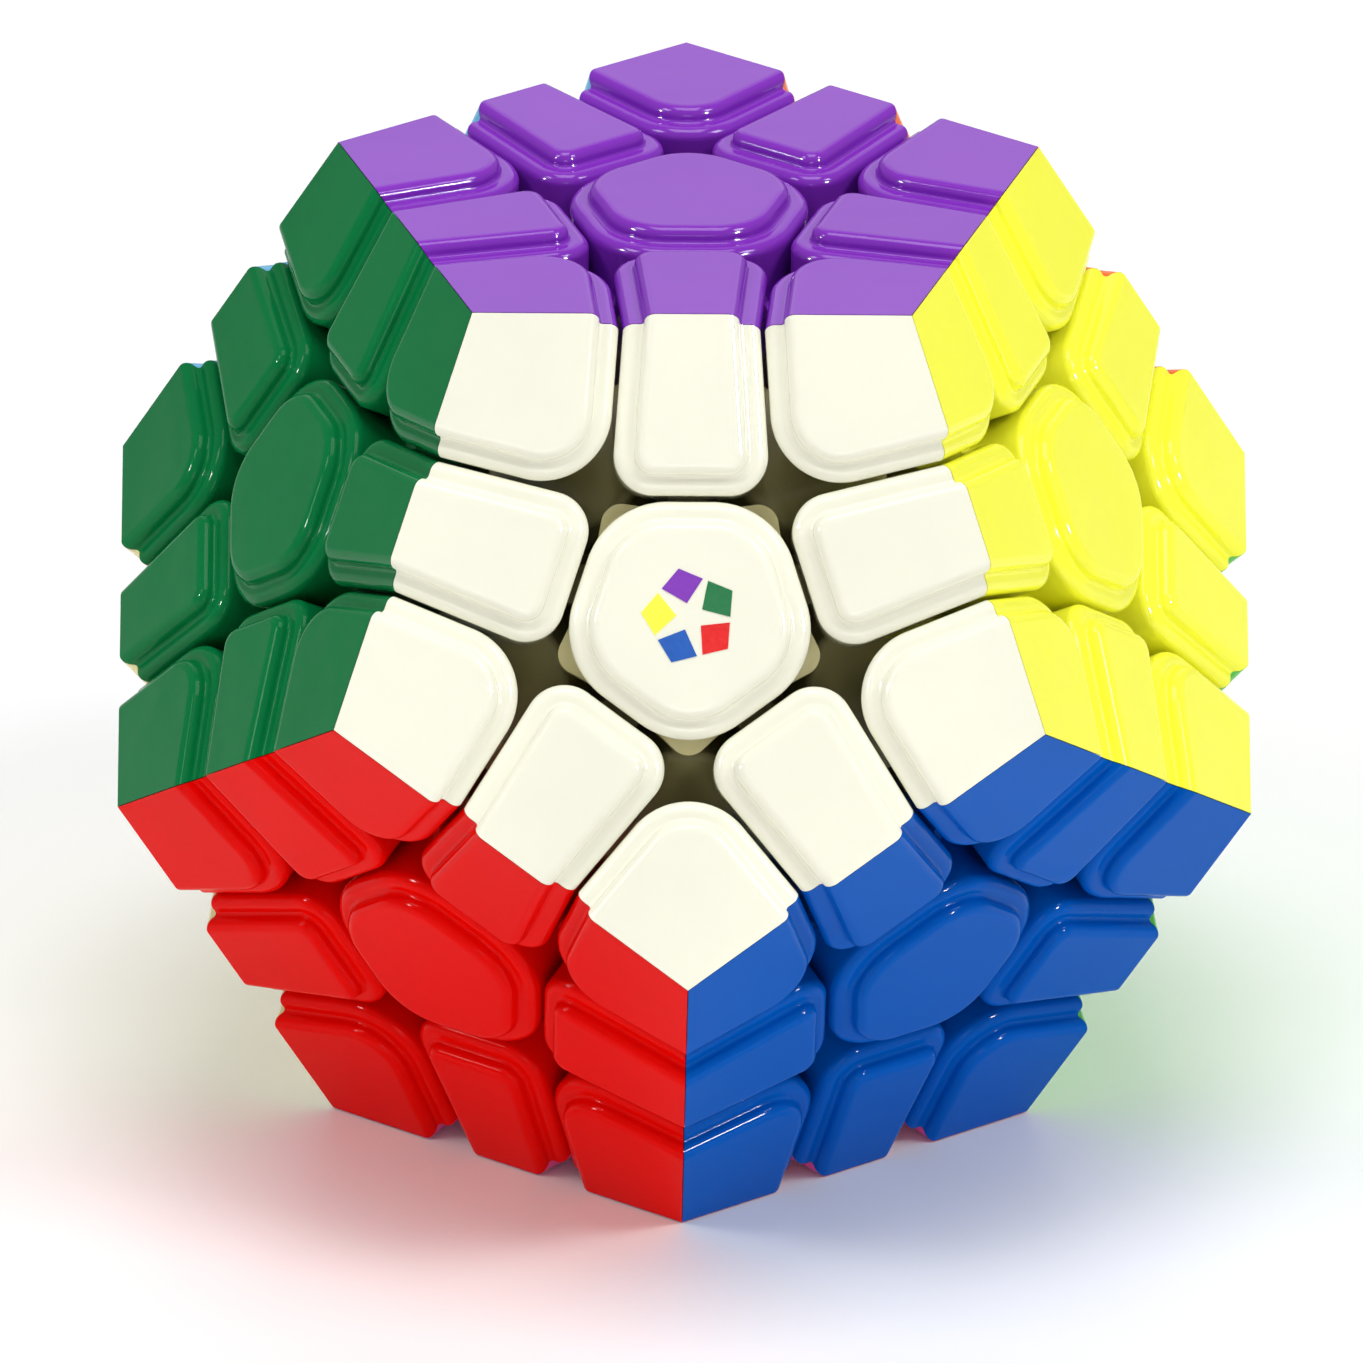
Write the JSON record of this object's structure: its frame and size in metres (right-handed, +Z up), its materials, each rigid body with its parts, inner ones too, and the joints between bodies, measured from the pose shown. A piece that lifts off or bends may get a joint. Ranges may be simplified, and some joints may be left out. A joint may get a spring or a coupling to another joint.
{
  "type": "dodecahedron twisty puzzle",
  "caption": "Twelve-sided twisty puzzle with a differently coloured plastic face on each side; every layer turns about its own axis to mix and restore the colours.",
  "frame": {"origin": "middle of the bottom face's plane, which is also the middle of the bounding box's underside", "axes": "+Z up, along the axis of the top face; -Y is the front, on the side that the white face looks towards; +X is to the right seen from the front"},
  "size_m": [0.0838, 0.088, 0.0713],
  "materials": {
    "plastic_purple": "glossy",
    "plastic_pink": "glossy",
    "plastic_white": "glossy",
    "plastic_yellow": "glossy",
    "plastic_orange": "glossy",
    "plastic_light_blue": "glossy",
    "plastic_dark_green": "glossy",
    "plastic_blue": "glossy",
    "plastic_light_green": "glossy",
    "plastic_grey": "glossy",
    "plastic_cream": "glossy",
    "plastic_red": "glossy",
    "edge_shells": "glossy, each shell in its face's colour",
    "corner_shells": "glossy, each shell in its face's colour",
    "inner_plastic": "satin",
    "steel": "satin"
  },
  "bodies": {
    "core_group": {"core": "inner_plastic", "tension_screws": "steel", "tension_springs": "steel", "centre_pink": "plastic_pink"},
    "layer_purple": {"centre_purple": "plastic_purple"},
    "layer_white": {"centre_white": "plastic_white"},
    "layer_yellow": {"centre_yellow": "plastic_yellow"},
    "layer_orange": {"centre_orange": "plastic_orange"},
    "layer_light_blue": {"centre_light_blue": "plastic_light_blue"},
    "layer_dark_green": {"centre_dark_green": "plastic_dark_green"},
    "layer_blue": {"centre_blue": "plastic_blue", "edge_pink_blue": "edge_shells"},
    "layer_light_green": {"centre_light_green": "plastic_light_green", "edge_pink_light_green": "edge_shells"},
    "layer_grey": {"centre_grey": "plastic_grey", "edge_pink_grey": "edge_shells"},
    "layer_cream": {"centre_cream": "plastic_cream", "edge_pink_cream": "edge_shells"},
    "layer_red": {"centre_red": "plastic_red", "edge_pink_red": "edge_shells"},
    "piece_purple_white": {"edge_purple_white": "edge_shells"},
    "piece_purple_yellow": {"edge_purple_yellow": "edge_shells"},
    "piece_purple_orange": {"edge_purple_orange": "edge_shells"},
    "piece_purple_light_blue": {"edge_purple_light_blue": "edge_shells"},
    "piece_purple_dark_green": {"edge_purple_dark_green": "edge_shells"},
    "piece_white_yellow": {"edge_white_yellow": "edge_shells"},
    "piece_white_dark_green": {"edge_white_dark_green": "edge_shells"},
    "piece_white_blue": {"edge_white_blue": "edge_shells"},
    "piece_white_red": {"edge_white_red": "edge_shells"},
    "piece_yellow_orange": {"edge_yellow_orange": "edge_shells"},
    "piece_yellow_blue": {"edge_yellow_blue": "edge_shells"},
    "piece_yellow_light_green": {"edge_yellow_light_green": "edge_shells"},
    "piece_orange_light_blue": {"edge_orange_light_blue": "edge_shells"},
    "piece_orange_light_green": {"edge_orange_light_green": "edge_shells"},
    "piece_orange_grey": {"edge_orange_grey": "edge_shells"},
    "piece_light_blue_dark_green": {"edge_light_blue_dark_green": "edge_shells"},
    "piece_light_blue_grey": {"edge_light_blue_grey": "edge_shells"},
    "piece_light_blue_cream": {"edge_light_blue_cream": "edge_shells"},
    "piece_dark_green_cream": {"edge_dark_green_cream": "edge_shells"},
    "piece_dark_green_red": {"edge_dark_green_red": "edge_shells"},
    "piece_blue_light_green": {"edge_blue_light_green_with_corner_pink": "edge_shells"},
    "piece_blue_red": {"edge_blue_red_with_corner_pink": "edge_shells"},
    "piece_light_green_grey": {"edge_light_green_grey_with_corner_pink": "edge_shells"},
    "piece_grey_cream": {"edge_grey_cream_with_corner_pink": "edge_shells"},
    "piece_cream_red": {"edge_cream_red_with_corner_pink": "edge_shells"},
    "piece_purple_white_yellow": {"corner_purple_white_yellow": "corner_shells"},
    "piece_purple_white_dark_green": {"corner_purple_white_dark_green": "corner_shells"},
    "piece_purple_yellow_orange": {"corner_purple_yellow_orange": "corner_shells"},
    "piece_purple_orange_light_blue": {"corner_purple_orange_light_blue": "corner_shells"},
    "piece_purple_light_blue_dark_green": {"corner_purple_light_blue_dark_green": "corner_shells"},
    "piece_white_yellow_blue": {"corner_white_yellow_blue": "corner_shells"},
    "piece_white_dark_green_red": {"corner_white_dark_green_red": "corner_shells"},
    "piece_white_blue_red": {"corner_white_blue_red": "corner_shells"},
    "piece_yellow_orange_light_green": {"corner_yellow_orange_light_green": "corner_shells"},
    "piece_yellow_blue_light_green": {"corner_yellow_blue_light_green": "corner_shells"},
    "piece_orange_light_blue_grey": {"corner_orange_light_blue_grey": "corner_shells"},
    "piece_orange_light_green_grey": {"corner_orange_light_green_grey": "corner_shells"},
    "piece_light_blue_dark_green_cream": {"corner_light_blue_dark_green_cream": "corner_shells"},
    "piece_light_blue_grey_cream": {"corner_light_blue_grey_cream": "corner_shells"},
    "piece_dark_green_cream_red": {"corner_dark_green_cream_red": "corner_shells"}
  },
  "joints": [
    {"name": "free_turn_purple", "type": "hinge", "parent": "core_group", "child": "layer_purple", "pos_m": [0, 0, 0.03563], "axis": [0, 0, 1], "continuous": true},
    {"name": "turn_white", "type": "hinge", "parent": "core_group", "child": "layer_white", "pos_m": [0, 0, 0.03563], "axis": [0, -0.8944, 0.4472], "range_deg": [-360, 360]},
    {"name": "turn_yellow", "type": "hinge", "parent": "core_group", "child": "layer_yellow", "pos_m": [0, 0, 0.03563], "axis": [0.8507, -0.2764, 0.4472], "range_deg": [-360, 360]},
    {"name": "turn_orange", "type": "hinge", "parent": "core_group", "child": "layer_orange", "pos_m": [0, 0, 0.03563], "axis": [0.5257, 0.7236, 0.4472], "range_deg": [-360, 360]},
    {"name": "turn_light_blue", "type": "hinge", "parent": "core_group", "child": "layer_light_blue", "pos_m": [0, 0, 0.03563], "axis": [-0.5257, 0.7236, 0.4472], "range_deg": [-360, 360]},
    {"name": "turn_dark_green", "type": "hinge", "parent": "core_group", "child": "layer_dark_green", "pos_m": [0, 0, 0.03563], "axis": [-0.8507, -0.2764, 0.4472], "range_deg": [-360, 360]},
    {"name": "free_turn_blue", "type": "hinge", "parent": "core_group", "child": "layer_blue", "pos_m": [0, 0, 0.03563], "axis": [0.5257, -0.7236, -0.4472], "continuous": true},
    {"name": "turn_light_green", "type": "hinge", "parent": "core_group", "child": "layer_light_green", "pos_m": [0, 0, 0.03563], "axis": [0.8507, 0.2764, -0.4472], "range_deg": [-360, 360]},
    {"name": "turn_grey", "type": "hinge", "parent": "core_group", "child": "layer_grey", "pos_m": [0, 0, 0.03563], "axis": [0, 0.8944, -0.4472], "range_deg": [-360, 360]},
    {"name": "free_turn_cream", "type": "hinge", "parent": "core_group", "child": "layer_cream", "pos_m": [0, 0, 0.03563], "axis": [-0.8507, 0.2764, -0.4472], "continuous": true},
    {"name": "turn_red", "type": "hinge", "parent": "core_group", "child": "layer_red", "pos_m": [0, 0, 0.03563], "axis": [-0.5257, -0.7236, -0.4472], "range_deg": [-360, 360]},
    {"name": "with_white_purple_white", "type": "hinge", "parent": "layer_purple", "child": "piece_purple_white", "pos_m": [0, 0, 0.03563], "axis": [0, -0.8944, 0.4472], "range_deg": [-360, 360]},
    {"name": "with_yellow_purple_yellow", "type": "hinge", "parent": "layer_purple", "child": "piece_purple_yellow", "pos_m": [0, 0, 0.03563], "axis": [0.8507, -0.2764, 0.4472], "range_deg": [-360, 360]},
    {"name": "with_orange_purple_orange", "type": "hinge", "parent": "layer_purple", "child": "piece_purple_orange", "pos_m": [0, 0, 0.03563], "axis": [0.5257, 0.7236, 0.4472], "range_deg": [-360, 360]},
    {"name": "with_light_blue_purple_light_blue", "type": "hinge", "parent": "layer_purple", "child": "piece_purple_light_blue", "pos_m": [0, 0, 0.03563], "axis": [-0.5257, 0.7236, 0.4472], "range_deg": [-360, 360]},
    {"name": "with_dark_green_purple_dark_green", "type": "hinge", "parent": "layer_purple", "child": "piece_purple_dark_green", "pos_m": [0, 0, 0.03563], "axis": [-0.8507, -0.2764, 0.4472], "range_deg": [-360, 360]},
    {"name": "with_yellow_white_yellow", "type": "hinge", "parent": "layer_white", "child": "piece_white_yellow", "pos_m": [0, 0, 0.03563], "axis": [0.8507, -0.2764, 0.4472], "range_deg": [-360, 360]},
    {"name": "with_dark_green_white_dark_green", "type": "hinge", "parent": "layer_white", "child": "piece_white_dark_green", "pos_m": [0, 0, 0.03563], "axis": [-0.8507, -0.2764, 0.4472], "range_deg": [-360, 360]},
    {"name": "with_blue_white_blue", "type": "hinge", "parent": "layer_white", "child": "piece_white_blue", "pos_m": [0, 0, 0.03563], "axis": [0.5257, -0.7236, -0.4472], "continuous": true},
    {"name": "with_red_white_red", "type": "hinge", "parent": "layer_white", "child": "piece_white_red", "pos_m": [0, 0, 0.03563], "axis": [-0.5257, -0.7236, -0.4472], "range_deg": [-360, 360]},
    {"name": "with_orange_yellow_orange", "type": "hinge", "parent": "layer_yellow", "child": "piece_yellow_orange", "pos_m": [0, 0, 0.03563], "axis": [0.5257, 0.7236, 0.4472], "range_deg": [-360, 360]},
    {"name": "with_blue_yellow_blue", "type": "hinge", "parent": "layer_yellow", "child": "piece_yellow_blue", "pos_m": [0, 0, 0.03563], "axis": [0.5257, -0.7236, -0.4472], "continuous": true},
    {"name": "with_light_green_yellow_light_green", "type": "hinge", "parent": "layer_yellow", "child": "piece_yellow_light_green", "pos_m": [0, 0, 0.03563], "axis": [0.8507, 0.2764, -0.4472], "range_deg": [-360, 360]},
    {"name": "with_light_blue_orange_light_blue", "type": "hinge", "parent": "layer_orange", "child": "piece_orange_light_blue", "pos_m": [0, 0, 0.03563], "axis": [-0.5257, 0.7236, 0.4472], "range_deg": [-360, 360]},
    {"name": "with_light_green_orange_light_green", "type": "hinge", "parent": "layer_orange", "child": "piece_orange_light_green", "pos_m": [0, 0, 0.03563], "axis": [0.8507, 0.2764, -0.4472], "range_deg": [-360, 360]},
    {"name": "with_grey_orange_grey", "type": "hinge", "parent": "layer_orange", "child": "piece_orange_grey", "pos_m": [0, 0, 0.03563], "axis": [0, 0.8944, -0.4472], "range_deg": [-360, 360]},
    {"name": "with_dark_green_light_blue_dark_green", "type": "hinge", "parent": "layer_light_blue", "child": "piece_light_blue_dark_green", "pos_m": [0, 0, 0.03563], "axis": [-0.8507, -0.2764, 0.4472], "range_deg": [-360, 360]},
    {"name": "with_grey_light_blue_grey", "type": "hinge", "parent": "layer_light_blue", "child": "piece_light_blue_grey", "pos_m": [0, 0, 0.03563], "axis": [0, 0.8944, -0.4472], "range_deg": [-360, 360]},
    {"name": "with_cream_light_blue_cream", "type": "hinge", "parent": "layer_light_blue", "child": "piece_light_blue_cream", "pos_m": [0, 0, 0.03563], "axis": [-0.8507, 0.2764, -0.4472], "continuous": true},
    {"name": "with_cream_dark_green_cream", "type": "hinge", "parent": "layer_dark_green", "child": "piece_dark_green_cream", "pos_m": [0, 0, 0.03563], "axis": [-0.8507, 0.2764, -0.4472], "continuous": true},
    {"name": "with_red_dark_green_red", "type": "hinge", "parent": "layer_dark_green", "child": "piece_dark_green_red", "pos_m": [0, 0, 0.03563], "axis": [-0.5257, -0.7236, -0.4472], "range_deg": [-360, 360]},
    {"name": "with_light_green_blue_light_green", "type": "hinge", "parent": "layer_blue", "child": "piece_blue_light_green", "pos_m": [0, 0, 0.03563], "axis": [0.8507, 0.2764, -0.4472], "range_deg": [-360, 360]},
    {"name": "with_red_blue_red", "type": "hinge", "parent": "layer_blue", "child": "piece_blue_red", "pos_m": [0, 0, 0.03563], "axis": [-0.5257, -0.7236, -0.4472], "range_deg": [-360, 360]},
    {"name": "with_grey_light_green_grey", "type": "hinge", "parent": "layer_light_green", "child": "piece_light_green_grey", "pos_m": [0, 0, 0.03563], "axis": [0, 0.8944, -0.4472], "range_deg": [-360, 360]},
    {"name": "with_cream_grey_cream", "type": "hinge", "parent": "layer_grey", "child": "piece_grey_cream", "pos_m": [0, 0, 0.03563], "axis": [-0.8507, 0.2764, -0.4472], "continuous": true},
    {"name": "with_red_cream_red", "type": "hinge", "parent": "layer_cream", "child": "piece_cream_red", "pos_m": [0, 0, 0.03563], "axis": [-0.5257, -0.7236, -0.4472], "range_deg": [-360, 360]},
    {"name": "with_yellow_purple_white_yellow", "type": "hinge", "parent": "piece_purple_white", "child": "piece_purple_white_yellow", "pos_m": [0, 0, 0.03563], "axis": [0.8507, -0.2764, 0.4472], "range_deg": [-360, 360]},
    {"name": "with_dark_green_purple_white_dark_green", "type": "hinge", "parent": "piece_purple_white", "child": "piece_purple_white_dark_green", "pos_m": [0, 0, 0.03563], "axis": [-0.8507, -0.2764, 0.4472], "range_deg": [-360, 360]},
    {"name": "with_orange_purple_yellow_orange", "type": "hinge", "parent": "piece_purple_yellow", "child": "piece_purple_yellow_orange", "pos_m": [0, 0, 0.03563], "axis": [0.5257, 0.7236, 0.4472], "range_deg": [-360, 360]},
    {"name": "with_light_blue_purple_orange_light_blue", "type": "hinge", "parent": "piece_purple_orange", "child": "piece_purple_orange_light_blue", "pos_m": [0, 0, 0.03563], "axis": [-0.5257, 0.7236, 0.4472], "range_deg": [-360, 360]},
    {"name": "with_dark_green_purple_light_blue_dark_green", "type": "hinge", "parent": "piece_purple_light_blue", "child": "piece_purple_light_blue_dark_green", "pos_m": [0, 0, 0.03563], "axis": [-0.8507, -0.2764, 0.4472], "range_deg": [-360, 360]},
    {"name": "with_blue_white_yellow_blue", "type": "hinge", "parent": "piece_white_yellow", "child": "piece_white_yellow_blue", "pos_m": [0, 0, 0.03563], "axis": [0.5257, -0.7236, -0.4472], "continuous": true},
    {"name": "with_red_white_dark_green_red", "type": "hinge", "parent": "piece_white_dark_green", "child": "piece_white_dark_green_red", "pos_m": [0, 0, 0.03563], "axis": [-0.5257, -0.7236, -0.4472], "range_deg": [-360, 360]},
    {"name": "with_red_white_blue_red", "type": "hinge", "parent": "piece_white_blue", "child": "piece_white_blue_red", "pos_m": [0, 0, 0.03563], "axis": [-0.5257, -0.7236, -0.4472], "range_deg": [-360, 360]},
    {"name": "with_light_green_yellow_orange_light_green", "type": "hinge", "parent": "piece_yellow_orange", "child": "piece_yellow_orange_light_green", "pos_m": [0, 0, 0.03563], "axis": [0.8507, 0.2764, -0.4472], "range_deg": [-360, 360]},
    {"name": "with_light_green_yellow_blue_light_green", "type": "hinge", "parent": "piece_yellow_blue", "child": "piece_yellow_blue_light_green", "pos_m": [0, 0, 0.03563], "axis": [0.8507, 0.2764, -0.4472], "range_deg": [-360, 360]},
    {"name": "with_grey_orange_light_blue_grey", "type": "hinge", "parent": "piece_orange_light_blue", "child": "piece_orange_light_blue_grey", "pos_m": [0, 0, 0.03563], "axis": [0, 0.8944, -0.4472], "range_deg": [-360, 360]},
    {"name": "with_grey_orange_light_green_grey", "type": "hinge", "parent": "piece_orange_light_green", "child": "piece_orange_light_green_grey", "pos_m": [0, 0, 0.03563], "axis": [0, 0.8944, -0.4472], "range_deg": [-360, 360]},
    {"name": "with_cream_light_blue_dark_green_cream", "type": "hinge", "parent": "piece_light_blue_dark_green", "child": "piece_light_blue_dark_green_cream", "pos_m": [0, 0, 0.03563], "axis": [-0.8507, 0.2764, -0.4472], "continuous": true},
    {"name": "with_cream_light_blue_grey_cream", "type": "hinge", "parent": "piece_light_blue_grey", "child": "piece_light_blue_grey_cream", "pos_m": [0, 0, 0.03563], "axis": [-0.8507, 0.2764, -0.4472], "continuous": true},
    {"name": "with_red_dark_green_cream_red", "type": "hinge", "parent": "piece_dark_green_cream", "child": "piece_dark_green_cream_red", "pos_m": [0, 0, 0.03563], "axis": [-0.5257, -0.7236, -0.4472], "range_deg": [-360, 360]}
  ],
  "couplings": [
    {"joint": "with_white_purple_white", "follows": "turn_white", "ratio": 1},
    {"joint": "with_yellow_purple_yellow", "follows": "turn_yellow", "ratio": 1},
    {"joint": "with_orange_purple_orange", "follows": "turn_orange", "ratio": 1},
    {"joint": "with_light_blue_purple_light_blue", "follows": "turn_light_blue", "ratio": 1},
    {"joint": "with_dark_green_purple_dark_green", "follows": "turn_dark_green", "ratio": 1},
    {"joint": "with_yellow_white_yellow", "follows": "turn_yellow", "ratio": 1},
    {"joint": "with_dark_green_white_dark_green", "follows": "turn_dark_green", "ratio": 1},
    {"joint": "with_blue_white_blue", "follows": "free_turn_blue", "ratio": 1},
    {"joint": "with_red_white_red", "follows": "turn_red", "ratio": 1},
    {"joint": "with_orange_yellow_orange", "follows": "turn_orange", "ratio": 1},
    {"joint": "with_blue_yellow_blue", "follows": "free_turn_blue", "ratio": 1},
    {"joint": "with_light_green_yellow_light_green", "follows": "turn_light_green", "ratio": 1},
    {"joint": "with_light_blue_orange_light_blue", "follows": "turn_light_blue", "ratio": 1},
    {"joint": "with_light_green_orange_light_green", "follows": "turn_light_green", "ratio": 1},
    {"joint": "with_grey_orange_grey", "follows": "turn_grey", "ratio": 1},
    {"joint": "with_dark_green_light_blue_dark_green", "follows": "turn_dark_green", "ratio": 1},
    {"joint": "with_grey_light_blue_grey", "follows": "turn_grey", "ratio": 1},
    {"joint": "with_cream_light_blue_cream", "follows": "free_turn_cream", "ratio": 1},
    {"joint": "with_cream_dark_green_cream", "follows": "free_turn_cream", "ratio": 1},
    {"joint": "with_red_dark_green_red", "follows": "turn_red", "ratio": 1},
    {"joint": "with_light_green_blue_light_green", "follows": "turn_light_green", "ratio": 1},
    {"joint": "with_red_blue_red", "follows": "turn_red", "ratio": 1},
    {"joint": "with_grey_light_green_grey", "follows": "turn_grey", "ratio": 1},
    {"joint": "with_cream_grey_cream", "follows": "free_turn_cream", "ratio": 1},
    {"joint": "with_red_cream_red", "follows": "turn_red", "ratio": 1},
    {"joint": "with_yellow_purple_white_yellow", "follows": "turn_yellow", "ratio": 1},
    {"joint": "with_dark_green_purple_white_dark_green", "follows": "turn_dark_green", "ratio": 1},
    {"joint": "with_orange_purple_yellow_orange", "follows": "turn_orange", "ratio": 1},
    {"joint": "with_light_blue_purple_orange_light_blue", "follows": "turn_light_blue", "ratio": 1},
    {"joint": "with_dark_green_purple_light_blue_dark_green", "follows": "turn_dark_green", "ratio": 1},
    {"joint": "with_blue_white_yellow_blue", "follows": "free_turn_blue", "ratio": 1},
    {"joint": "with_red_white_dark_green_red", "follows": "turn_red", "ratio": 1},
    {"joint": "with_red_white_blue_red", "follows": "turn_red", "ratio": 1},
    {"joint": "with_light_green_yellow_orange_light_green", "follows": "turn_light_green", "ratio": 1},
    {"joint": "with_light_green_yellow_blue_light_green", "follows": "turn_light_green", "ratio": 1},
    {"joint": "with_grey_orange_light_blue_grey", "follows": "turn_grey", "ratio": 1},
    {"joint": "with_grey_orange_light_green_grey", "follows": "turn_grey", "ratio": 1},
    {"joint": "with_cream_light_blue_dark_green_cream", "follows": "free_turn_cream", "ratio": 1},
    {"joint": "with_cream_light_blue_grey_cream", "follows": "free_turn_cream", "ratio": 1},
    {"joint": "with_red_dark_green_cream_red", "follows": "turn_red", "ratio": 1}
  ]
}
